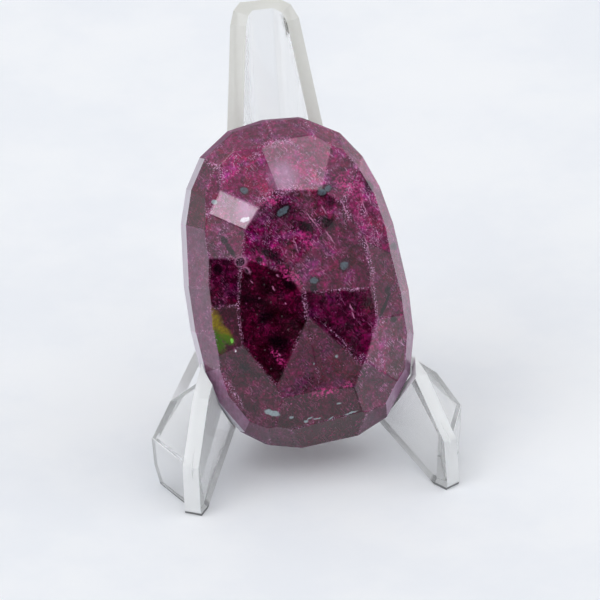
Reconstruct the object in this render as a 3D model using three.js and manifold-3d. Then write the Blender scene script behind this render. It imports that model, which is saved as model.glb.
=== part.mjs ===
import * as THREE from 'three';
import Module from 'manifold-3d';

const wasm = await Module();
wasm.setup();

// driving sizes in millimetres and degrees; x is to the right, y to the back, z up
const gap = 0.3;
const leanBack = 27;
const stoneRoll = 5.1;
const stoneCentre = new THREE.Vector3(0, -4.15, 29.2);

// the stone's oval outline, a rounded rectangle a little narrower at its top
const halfWidth = 17.7;
const halfLength = 26.6;
const ovalPower = 2.62;
const topTaper = 0.06;
const sideHeight = 4.3;
const backBevel = 0.6;
const bevelTilt = 45;
const blankHeight = 9;

// where the outline's corners fall round the oval, counted from the stone's right side
const outlineCorners = [
  90, 75, 53, 37, 22, 9, -6, -20, -37, -62, -79, -98,
  -113, -128, -147, -161, -174, 177, 158, 143, 126, 105,
];
const rimTiltAtEnds = 41;
const rimTiltAtSides = 62;

// the facets inside the rim: the way each one faces, its tilt, its distance from the stone's centre
const faceFacets = {
  top: [77.9, 20.2, 10.63],
  upperLeft: [116.0, 19.9, 10.45],
  windowLeft: [125.7, 18.6, 10.04],
  cornerLeft: [131.1, 26.7, 12.35],
  leftHigh: [150.5, 17.7, 9.54],
  leftMiddle: [-175.2, 17.5, 8.83],
  leftLow: [-168.4, 18.0, 8.9],
  bigDark: [-132.1, 6.1, 6.59],
  centreTop: [77.2, 3.8, 6.73],
  centreRight: [-10.5, 4.5, 6.41],
  darkRight: [-40.7, 5.3, 6.46],
  upperRight: [52.9, 19.9, 10.47],
  rightHigh: [16.0, 24.5, 10.21],
  rightMiddle: [-7.5, 17.7, 8.61],
  rightLow: [-30.0, 19.7, 9.46],
  lowerRight: [-45.2, 19.3, 9.94],
  fanLeft: [-102.6, 6.5, 6.74],
  fanRight: [-86.5, 6.3, 6.72],
  lowerLeft: [-145.3, 19.0, 9.42],
  bottom: [-93.8, 16.6, 9.59],
};

// the easel: two wings that open forward from a narrow web at the back
const sheet = 2.8;
const webHalf = 2.45;
const wingAngle = 33;
const spineFoot = 4.7;
const spineLean = 16.3;
const easelTop = 65.2;
const skin = 1.6;
const trim = 1;
const blockSize = 200;

// corners that agree to this many steps of a millimetre are one corner
const weldSteps = 1e5;

const rubyColour = 0x6a1f3f;
const rubyRoughness = 0.12;
const easelColour = 0xe6ebef;
const easelRoughness = 0.08;
const easelOpacity = 0.35;

const radians = THREE.MathUtils.degToRad;
const up = new THREE.Vector3(0, 0, 1);
const down = new THREE.Vector3(0, 0, -1);

function toSolid(geometry) {
  const points = geometry.getAttribute('position');
  const index = new Map();
  const vertices = [];
  const triangles = [];
  for (let i = 0; i < points.count; i += 1) {
    const corner = [points.getX(i), points.getY(i), points.getZ(i)];
    const key = corner.map((value) => Math.round(value * weldSteps)).join(',');
    if (!index.has(key)) {
      index.set(key, index.size);
      vertices.push(...corner);
    }
    triangles.push(index.get(key));
  }
  const mesh = new wasm.Mesh({
    numProp: 3,
    vertProperties: new Float32Array(vertices),
    triVerts: new Uint32Array(triangles),
  });
  return new wasm.Manifold(mesh);
}

function toGeometry(solid) {
  const mesh = solid.getMesh();
  const geometry = new THREE.BufferGeometry();
  geometry.setAttribute('position', new THREE.BufferAttribute(mesh.vertProperties, 3));
  geometry.setIndex(new THREE.BufferAttribute(mesh.triVerts, 1));
  geometry.computeVertexNormals();
  return geometry;
}

// a slab whose flat outline runs through the corners
// it is centred on them, or lies on the side of the point given
function slab(corners, thickness, inside) {
  const origin = corners[0];
  const along = corners[1].clone().sub(origin).normalize();
  const normal = along.clone().cross(corners[corners.length - 1].clone().sub(origin)).normalize();
  const across = normal.clone().cross(along);
  const flat = corners.map((point) => {
    const step = point.clone().sub(origin);
    return new THREE.Vector2(step.dot(along), step.dot(across));
  });
  const geometry = new THREE.ExtrudeGeometry(new THREE.Shape(flat), {
    depth: thickness,
    bevelEnabled: false,
  });
  if (!inside) {
    geometry.translate(0, 0, -thickness / 2);
  } else if (inside.clone().sub(origin).dot(normal) < 0) {
    geometry.translate(0, 0, -thickness);
  }
  const frame = new THREE.Matrix4().makeBasis(along, across, normal).setPosition(origin);
  geometry.applyMatrix4(frame);
  return toSolid(geometry);
}

// where the stone sits: its own axes are x to the side, y along its length, z out of its face
function stoneFrame() {
  const turn = new THREE.Matrix4().makeRotationX(radians(90 - leanBack));
  const roll = new THREE.Matrix4().makeRotationZ(radians(stoneRoll));
  return turn.multiply(roll).setPosition(stoneCentre);
}

function ovalPoint(angle, extra) {
  const cosine = Math.cos(radians(angle));
  const sine = Math.sin(radians(angle));
  const bend = (value) => Math.sign(value) * Math.abs(value) ** (2 / ovalPower);
  const taper = 1 - topTaper * bend(sine);
  return new THREE.Vector2(
    (halfWidth * taper + extra) * bend(cosine),
    (halfLength + extra) * bend(sine),
  );
}

function ovalBlock(extra, bottom, height) {
  const outline = outlineCorners.map((angle) => ovalPoint(angle, extra)).reverse();
  const geometry = new THREE.ExtrudeGeometry(new THREE.Shape(outline), {
    depth: height,
    bevelEnabled: false,
  });
  geometry.translate(0, 0, bottom);
  return geometry;
}

// grinds away everything beyond the plane that faces along the normal at this distance
function grind(solid, normal, distance) {
  const geometry = new THREE.BoxGeometry(blockSize, blockSize, blockSize).toNonIndexed();
  geometry.translate(0, 0, distance + blockSize / 2);
  const turn = new THREE.Quaternion().setFromUnitVectors(up, normal);
  geometry.applyQuaternion(turn);
  return solid.subtract(toSolid(geometry));
}

function facetNormal(direction, tilt) {
  return new THREE.Vector3(
    Math.sin(radians(tilt)) * Math.cos(radians(direction)),
    Math.sin(radians(tilt)) * Math.sin(radians(direction)),
    Math.cos(radians(tilt)),
  );
}

function makeRuby() {
  const back = -sideHeight - backBevel;
  let solid = toSolid(ovalBlock(0, back, blankHeight - back));
  for (const [direction, tilt, distance] of Object.values(faceFacets)) {
    solid = grind(solid, facetNormal(direction, tilt), distance);
  }
  outlineCorners.forEach((angle, i) => {
    const start = ovalPoint(angle, 0);
    const end = ovalPoint(outlineCorners[(i + 1) % outlineCorners.length], 0);
    const edge = end.clone().sub(start).normalize();
    const direction = THREE.MathUtils.radToDeg(Math.atan2(edge.x, -edge.y));
    const sideways = Math.abs(Math.cos(radians(direction)));
    const rimTilt = rimTiltAtEnds + (rimTiltAtSides - rimTiltAtEnds) * sideways;
    const rim = facetNormal(direction, rimTilt);
    solid = grind(solid, rim, rim.dot(new THREE.Vector3(start.x, start.y, 0)));
    const bevel = facetNormal(direction, 180 - bevelTilt);
    solid = grind(solid, bevel, bevel.dot(new THREE.Vector3(start.x, start.y, -sideHeight)));
  });
  return solid;
}

// a point of a wing: how far it is forward of the spine, and its height
function wingPoint(side, forward, height) {
  return new THREE.Vector3(
    side * (webHalf + forward * Math.sin(radians(wingAngle))),
    spineFoot + height * Math.tan(radians(spineLean)) - forward * Math.cos(radians(wingAngle)),
    height,
  );
}

// how far the web and a wing run past their fold, so that their outer faces meet in one edge
function foldOverlap() {
  const spine = new THREE.Vector3(0, Math.tan(radians(spineLean)), 1).normalize();
  const wing = wingPoint(1, 1, 0).sub(wingPoint(1, 0, 0));
  const across = wing.projectOnPlane(spine);
  return (sheet / 2) * Math.tan(across.angleTo(new THREE.Vector3(1, 0, 0)) / 2);
}

// the outline runs a little below the floor and above the top, where it is cut flat
function makeWing(side) {
  const behind = -foldOverlap();
  const outline = [
    [behind, -trim], [2.6, -trim], [7.5, 5.4], [13, 7.4], [18.5, 6.2], [33.5, -trim],
    [34.6, -trim], [34.6, 0], [35, 0.8], [34.8, 7.5], [28.8, 15.8],
    [13.1, 28], [3.8, 63.9], [1.2, easelTop + trim], [behind, easelTop + trim],
  ];
  const corners = outline.map(([forward, height]) => wingPoint(side, forward, height));
  return slab(corners, sheet);
}

function makeWeb() {
  const overlap = new THREE.Vector3(foldOverlap(), 0, 0);
  const corners = [
    wingPoint(-1, 0, -trim).sub(overlap), wingPoint(1, 0, -trim).add(overlap),
    wingPoint(1, 0, easelTop + trim).add(overlap), wingPoint(-1, 0, easelTop + trim).sub(overlap),
  ];
  return slab(corners, sheet);
}

// each foot is closed outside by an upright plate and a sloping plate above it
// a flap runs back from them
function makeFoot(side) {
  const knee = [21.4, -22.8, 7.5];
  const shoulder = [25.4, -11.6, 7.6];
  const elbow = [22, -9.4, 12.7];
  const place = ([x, y, z]) => new THREE.Vector3(side * x, y, z);
  const upright = [
    [20.9, -23.7, 0], knee, shoulder, [25.2, -12.2, 3], [24.6, -13.8, 0.2],
  ];
  const sloping = [knee, shoulder, elbow, [16.7, -11.9, 18]];
  const flap = [shoulder, elbow, [15, 5.4, 12.9], [15.2, 5.2, 12.2]];
  const hollow = place([18, -14, 6]);
  const plates = [upright, sloping, flap].map((corners) => slab(corners.map(place), skin, hollow));
  return plates[0].add(plates[1]).add(plates[2]);
}

// the room for the stone: its own outline, from just behind its back out to the front
function makeSeat() {
  const back = -sideHeight - backBevel - gap;
  return toSolid(ovalBlock(gap, back, blockSize).applyMatrix4(stoneFrame()));
}

function makeEasel() {
  let solid = makeWeb();
  for (const side of [-1, 1]) {
    solid = solid.add(makeWing(side)).add(makeFoot(side));
  }
  solid = solid.subtract(makeSeat());
  return grind(grind(solid, down, 0), up, easelTop);
}

function part(name, solid, colour, roughness, opacity) {
  const material = new THREE.MeshStandardMaterial({
    color: colour,
    roughness,
    metalness: 0,
    opacity,
    transparent: opacity < 1,
  });
  const mesh = new THREE.Mesh(toGeometry(solid), material);
  mesh.name = name;
  return mesh;
}

const group = new THREE.Group();
const ruby = part('ruby', makeRuby(), rubyColour, rubyRoughness, 1);
ruby.applyMatrix4(stoneFrame());
group.add(ruby);
group.add(part('easel', makeEasel(), easelColour, easelRoughness, easelOpacity));

export default group;
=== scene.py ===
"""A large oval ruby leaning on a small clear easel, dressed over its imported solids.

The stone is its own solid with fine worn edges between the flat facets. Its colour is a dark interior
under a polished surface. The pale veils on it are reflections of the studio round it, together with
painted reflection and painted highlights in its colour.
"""

import logging
import math
from dataclasses import dataclass, field
from enum import Enum

import bmesh
import bpy
import numpy as np
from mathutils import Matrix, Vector


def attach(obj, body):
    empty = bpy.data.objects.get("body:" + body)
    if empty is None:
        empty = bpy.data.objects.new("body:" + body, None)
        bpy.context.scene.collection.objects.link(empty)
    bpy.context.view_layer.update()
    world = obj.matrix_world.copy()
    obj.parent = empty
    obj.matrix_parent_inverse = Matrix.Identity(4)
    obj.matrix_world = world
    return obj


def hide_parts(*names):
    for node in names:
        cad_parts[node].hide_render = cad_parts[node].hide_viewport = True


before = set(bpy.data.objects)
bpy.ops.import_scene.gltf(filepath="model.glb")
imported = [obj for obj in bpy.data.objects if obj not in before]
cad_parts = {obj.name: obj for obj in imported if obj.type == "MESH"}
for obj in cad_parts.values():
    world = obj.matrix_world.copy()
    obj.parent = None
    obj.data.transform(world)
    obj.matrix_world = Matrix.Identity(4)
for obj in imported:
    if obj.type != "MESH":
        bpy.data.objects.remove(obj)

LOG = logging.getLogger("ruby")
MM = 0.001
# the face map covers this many millimetres of the stone's face, with the stone's centre in the middle
FACE_SPAN = 60.0

UP = Vector((0.0, 0.0, 1.0))

Colour = tuple[float, float, float]
Pair = tuple[float, float]


def srgb(red: float, green: float, blue: float) -> Colour:
    """Turns a colour as a screen shows it, 0 to 255, into linear light."""
    parts = (red / 255, green / 255, blue / 255)
    return tuple(c / 12.92 if c <= 0.04045 else ((c + 0.055) / 1.055) ** 2.4 for c in parts)


def direction(azimuth: float, elevation: float) -> Vector:
    """Gives the unit vector towards a point of the sky.

    Args:
        azimuth: degrees from the front of the object towards its right side.
        elevation: degrees above the horizon.

    Returns:
        The direction in the row's frame.
    """
    side, rise = math.radians(azimuth), math.radians(elevation)
    return Vector((math.sin(side) * math.cos(rise), -math.cos(side) * math.cos(rise), math.sin(rise)))


class Value:
    """A shader socket that can be used in ordinary arithmetic."""

    def __init__(self, graph: "Graph", socket: bpy.types.NodeSocket) -> None:
        """Keeps the socket and the graph it belongs to."""
        self.graph = graph
        self.socket = socket

    def __add__(self, other: "Number") -> "Value":
        """Adds."""
        return self.graph.math("ADD", self, other)

    def __radd__(self, other: "Number") -> "Value":
        """Adds, with the number first."""
        return self.graph.math("ADD", other, self)

    def __sub__(self, other: "Number") -> "Value":
        """Subtracts."""
        return self.graph.math("SUBTRACT", self, other)

    def __rsub__(self, other: "Number") -> "Value":
        """Subtracts from the number."""
        return self.graph.math("SUBTRACT", other, self)

    def __mul__(self, other: "Number") -> "Value":
        """Multiplies."""
        return self.graph.math("MULTIPLY", self, other)

    def __rmul__(self, other: "Number") -> "Value":
        """Multiplies, with the number first."""
        return self.graph.math("MULTIPLY", other, self)

    def __truediv__(self, other: "Number") -> "Value":
        """Divides."""
        return self.graph.math("DIVIDE", self, other)

    def __rtruediv__(self, other: "Number") -> "Value":
        """Divides the number by this."""
        return self.graph.math("DIVIDE", other, self)


Number = Value | float


@dataclass(frozen=True)
class Noise:
    """Soft noise of one kind.

    Attributes:
        scale: about how often it changes in one unit of the point.
        detail: how many finer levels it has.
        rough: how strong its finer levels are.
        low: the noise where a patch begins.
        high: the noise where a patch is full, the smaller of the two for patches in the troughs.
    """

    scale: float
    detail: float = 2.0
    rough: float = 0.5
    low: float = 0.0
    high: float = 1.0


@dataclass(frozen=True)
class Specks:
    """Scattered round specks.

    Attributes:
        pitch: the mean distance between neighbouring places for a speck.
        size: a speck's radius as a part of the pitch.
        share: how many of the places have one, 0 to 1.
    """

    pitch: float
    size: float
    share: float


class Graph:
    """The node tree of a material or of the world, written as expressions."""

    def __init__(self, tree: bpy.types.NodeTree) -> None:
        """Empties the tree and keeps it."""
        self.tree = tree
        tree.nodes.clear()

    def node(
        self,
        kind: str,
        settings: dict[str, object] | None = None,
        sockets: dict[str | int, object] | None = None,
    ) -> bpy.types.Node:
        """Adds one node.

        Args:
            kind: the node's type.
            settings: its properties, which are set before its sockets.
            sockets: input name or number to a value, a number or a tuple.

        Returns:
            The node.
        """
        made = self.tree.nodes.new(kind)
        for name, setting in (settings or {}).items():
            setattr(made, name, setting)
        for name, given in (sockets or {}).items():
            entry = made.inputs[name]
            if isinstance(given, Value):
                self.tree.links.new(given.socket, entry)
            elif isinstance(given, tuple) and entry.type == "RGBA" and len(given) == 3:
                entry.default_value = (*given, 1.0)
            else:
                entry.default_value = given
        return made

    def out(self, made: bpy.types.Node, socket: str | int = 0) -> Value:
        """Wraps one output of a node."""
        return Value(self, made.outputs[socket])

    def math(self, operation: str, first: Number, second: Number = 0.0) -> Value:
        """Adds a Math node on two numbers."""
        return self.out(self.node("ShaderNodeMath", {"operation": operation}, {0: first, 1: second}))

    def least(self, values: list[Value]) -> Value:
        """Gives the smallest of several numbers."""
        result = values[0]
        for value in values[1:]:
            result = self.math("MINIMUM", result, value)
        return result

    def most(self, first: Number, second: Number) -> Value:
        """Gives the larger of two numbers."""
        return self.math("MAXIMUM", first, second)

    def step(self, value: Value, low: Number, high: Number) -> Value:
        """Rises smoothly from 0 at low to 1 at high, or falls where low is the larger."""
        node = self.node(
            "ShaderNodeMapRange",
            {"interpolation_type": "SMOOTHSTEP"},
            {"Value": value, "From Min": low, "From Max": high},
        )
        return self.out(node)

    def between(self, mask: Value, low: float, high: float) -> Value:
        """Gives low where a mask is 0 and high where it is 1."""
        return low + mask * (high - low)

    def mix(self, share: Number, first: Value | Colour, second: Value | Colour) -> Value:
        """Mixes two colours: the first at 0, the second at 1."""
        node = self.node("ShaderNodeMix", {"data_type": "RGBA"}, {0: share, 6: first, 7: second})
        return self.out(node, 2)

    def vector(self, operation: str, first: object, second: object = (0.0, 0.0, 0.0)) -> Value:
        """Adds a Vector Math node that gives a vector."""
        node = self.node("ShaderNodeVectorMath", {"operation": operation}, {0: first, 1: second})
        return self.out(node)

    def dot(self, first: Value, second: Vector) -> Value:
        """Gives the dot product with a constant vector."""
        sockets = {0: first, 1: tuple(second)}
        node = self.node("ShaderNodeVectorMath", {"operation": "DOT_PRODUCT"}, sockets)
        return self.out(node, "Value")

    def length(self, point: Value) -> Value:
        """Gives a vector's length."""
        node = self.node("ShaderNodeVectorMath", {"operation": "LENGTH"}, {0: point})
        return self.out(node, "Value")

    def millimetres(self) -> Value:
        """Gives the place on the object in millimetres."""
        where = self.out(self.node("ShaderNodeTexCoord"), "Object")
        return self.vector("MULTIPLY", where, (1 / MM, 1 / MM, 1 / MM))

    def drawn_out(self, point: Value, stretch: float) -> Value:
        """Draws out upwards what is made from the point, more for a smaller stretch."""
        return self.vector("MULTIPLY", point, (1.0, 1.0, stretch))

    def placed(self, point: Value, place: Pair, turn: float, size: Pair) -> Value:
        """Sees a point from a frame at a place, turned in degrees, with units of a size."""
        node = self.node(
            "ShaderNodeMapping",
            {"vector_type": "TEXTURE"},
            {
                "Vector": point,
                "Location": (*place, 0.0),
                "Rotation": (0.0, 0.0, math.radians(turn)),
                "Scale": (*size, 1.0),
            },
        )
        return self.out(node)

    def noise(self, point: Value, kind: Noise) -> Value:
        """Gives soft noise between 0 and 1."""
        node = self.node(
            "ShaderNodeTexNoise",
            {"noise_dimensions": "3D"},
            {"Vector": point, "Scale": kind.scale, "Detail": kind.detail, "Roughness": kind.rough},
        )
        return self.out(node, "Fac")

    def patches(self, point: Value, kind: Noise) -> Value:
        """Gives the mask of the patches that a noise makes."""
        return self.step(self.noise(point, kind), kind.low, kind.high)

    def wander(self, point: Value, scale: float, reach: float) -> Value:
        """Moves a point about, so that what is drawn there is uneven.

        Args:
            point: where.
            scale: about how often the move changes in one unit of the point.
            reach: twice the largest move.

        Returns:
            The moved point.
        """
        node = self.node(
            "ShaderNodeTexNoise", {"noise_dimensions": "3D"}, {"Vector": point, "Scale": scale}
        )
        shift = self.vector("SUBTRACT", self.out(node, "Color"), (0.5, 0.5, 0.5))
        return self.vector("ADD", point, self.vector("MULTIPLY", shift, (reach, reach, reach)))

    def specks(self, point: Value, kind: Specks) -> Value:
        """Gives the mask of scattered round specks.

        Args:
            point: where.
            kind: how large and how many they are.

        Returns:
            The mask.
        """
        node = self.node(
            "ShaderNodeTexVoronoi",
            {"voronoi_dimensions": "3D", "feature": "F1"},
            {"Vector": point, "Scale": 1 / kind.pitch},
        )
        chance = self.out(self.node("ShaderNodeSeparateColor", None, {0: self.out(node, "Color")}))
        spread = self.step(chance, 1 - kind.share, 1.0)
        return self.step(self.out(node, "Distance") / kind.size, 1.0, 0.5) * spread

    def after(self, earlier: Value, point: Value) -> Value:
        """Gives a point unchanged, but only once an earlier value is there.

        The shader's store is small, and this keeps it from holding many values at a time.

        Args:
            earlier: what has to be worked out first.
            point: the point.

        Returns:
            The point.
        """
        nothing = 1e-9
        node = self.node(
            "ShaderNodeVectorMath",
            {"operation": "MULTIPLY_ADD"},
            {0: earlier, 1: (nothing, nothing, nothing), 2: point},
        )
        return self.out(node)

    def attribute(self, name: str) -> Value:
        """Reads a number that the mesh carries."""
        return self.out(self.node("ShaderNodeAttribute", {"attribute_name": name}), "Fac")

    def bump(self, height: Value) -> Value:
        """Gives the direction of a surface that is raised by a height in millimetres."""
        node = self.node("ShaderNodeBump", None, {"Strength": 1.0, "Distance": MM, "Height": height})
        return self.out(node)

    def surface(self, sockets: dict[str | int, object]) -> Value:
        """Adds a Principled shader."""
        return self.out(self.node("ShaderNodeBsdfPrincipled", None, sockets))

    def blend(self, share: Value, first: Value, second: Value) -> Value:
        """Mixes two shaders: the first at 0, the second at 1."""
        return self.out(self.node("ShaderNodeMixShader", None, {0: share, 1: first, 2: second}))

    def finish(self, **shaders: Value) -> None:
        """Joins shaders to the material's output."""
        self.node("ShaderNodeOutputMaterial", None, shaders)


def new_material(name: str) -> tuple[bpy.types.Material, Graph]:
    """Makes an empty node material and the graph that writes it."""
    material = bpy.data.materials.new(name)
    material.use_nodes = True
    return material, Graph(material.node_tree)


class Tint(Enum):
    """The colours of the marks in the stone, among them painted reflection and painted highlights."""

    # painted reflection: lighter patches where a facet's reflected veil is brightest
    PAINTED_SHEEN = srgb(200, 144, 190)
    WORN = srgb(236, 172, 220)
    STREAK = srgb(224, 116, 182)
    PINK = srgb(206, 60, 136)
    GRAIN = srgb(190, 120, 160)
    SLATE = srgb(6, 4, 16)
    BLACK = srgb(8, 2, 8)
    STEEL = srgb(92, 106, 116)
    YELLOW = srgb(140, 122, 6)
    GREEN = srgb(58, 106, 4)
    LIME = srgb(130, 215, 80)
    RED = srgb(118, 0, 58)
    SILVER = srgb(150, 166, 172)
    # also the colour of a painted highlight
    WHITE = srgb(236, 228, 240)


# marks with a dark ring, and marks that stop where the rim begins
RINGED = (Tint.STEEL,)
INNER = (Tint.YELLOW, Tint.GREEN)


@dataclass(frozen=True)
class Mark:
    """One mark on the stone's face: an inclusion, chip or spot, a patch of painted reflection, or a
    painted highlight.

    Attributes:
        place: its middle on the face, in millimetres to the side and up along the stone.
        size: its length and width in millimetres.
        turn: how far its length is turned from the side axis, in degrees.
        softness: the share of its radius over which it fades out.
    """

    place: Pair
    size: Pair
    turn: float
    softness: float = 0.9


@dataclass(frozen=True)
class FacetLook:
    """How one facet of the face differs from the others.

    Attributes:
        place: the middle of the facet on the face, in millimetres.
        glow: how much red light comes back from inside it.
        needles: how many pale needles show in it, 0 to 1.
        depth: how strongly its clouds show, 0 to 1.
        milk_and_sheen: how milky it looks, 0 to 1, partly its own milkiness and partly painted
            reflection.
        matte: how far its polish is worn, 0 to 1.
    """

    place: Pair
    glow: float
    needles: float
    depth: float
    milk_and_sheen: float = 0.0
    matte: float = 0.0


FACETS = {
    "top": FacetLook((3.1, 19.4), 0.2, 0.9, 0.7, 0.03),
    "upper_left": FacetLook((-5.8, 18.7), 0.18, 0.7, 0.6),
    "window_left": FacetLook((-9.4, 14.3), 0.19, 0.5, 0.5, 0.14),
    "corner_left": FacetLook((-11.4, 17.2), 0.11, 0.5, 0.5),
    "left_high": FacetLook((-11.4, 9.6), 0.105, 0.6, 0.7, 0.02),
    "left_middle": FacetLook((-12.7, 2.8), 0.055, 0.4, 0.9),
    "left_low": FacetLook((-13.5, -4.7), 0.045, 0.3, 0.4),
    "big_dark": FacetLook((-6.4, -4.0), 0.036, 0.25, 1.0),
    "centre_top": FacetLook((-0.7, 9.6), 0.1, 0.58, 1.0),
    "centre_right": FacetLook((5.7, 2.9), 0.09, 0.6, 0.7),
    "dark_right": FacetLook((5.7, -6.7), 0.06, 0.35, 0.8),
    "upper_right": FacetLook((9.3, 16.2), 0.17, 0.8, 0.8, 0.03),
    "right_high": FacetLook((12.5, 9.2), 0.03, 0.5, 0.8, 0.05),
    "right_middle": FacetLook((13.1, -2.5), 0.09, 0.5, 0.5),
    "right_low": FacetLook((12.3, -12.7), 0.11, 0.9, 0.8, 0.02),
    "lower_right": FacetLook((8.5, -18.8), 0.07, 0.9, 0.8, 0.02),
    "fan_left": FacetLook((-2.9, -13.4), 0.065, 0.4, 0.4),
    "fan_right": FacetLook((2.5, -13.1), 0.065, 0.4, 0.4),
    "lower_left": FacetLook((-11.3, -14.9), 0.05, 0.7, 0.8, 0.0, 0.35),
    "bottom": FacetLook((-1.1, -20.1), 0.042, 0.7, 0.6, 0.0, 0.3),
}


@dataclass(frozen=True)
class RimLook:
    """How the rim looks where it faces one way.

    Attributes:
        angle: the way it faces, in degrees from the stone's right side towards its top.
        glow: how much red light comes back from inside it.
        milk_and_sheen: how milky it looks, 0 to 1, set by the way the rim faces, so partly its own
            milkiness and partly painted reflection.
    """

    angle: float
    glow: float
    milk_and_sheen: float


# the numbers that each facet carries for its material
LOOKS = ("glow", "milk_and_sheen", "needles", "depth", "frost_and_light", "ground", "inner")
# the rim's milkiness, set by the way it faces, is partly painted reflection
RIM = (
    RimLook(-176, 0.075, 0.18),
    RimLook(-164, 0.09, 0.46),
    RimLook(-149, 0.07, 0.36),
    RimLook(-127, 0.05, 0.1),
    RimLook(-110, 0.05, 0.06),
    RimLook(-85, 0.035, 0.0),
    RimLook(-62, 0.045, 0.16),
    RimLook(-38, 0.06, 0.7),
    RimLook(-16, 0.07, 0.45),
    RimLook(0, 0.13, 0.11),
    RimLook(20, 0.19, 0.16),
    RimLook(34, 0.14, 0.04),
    RimLook(85, 0.14, 0.02),
    RimLook(97, 0.115, 0.0),
    RimLook(120, 0.14, 0.01),
    RimLook(150, 0.06, 0.0),
    RimLook(162, 0.05, 0.0),
    RimLook(172, 0.08, 0.12),
)

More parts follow.
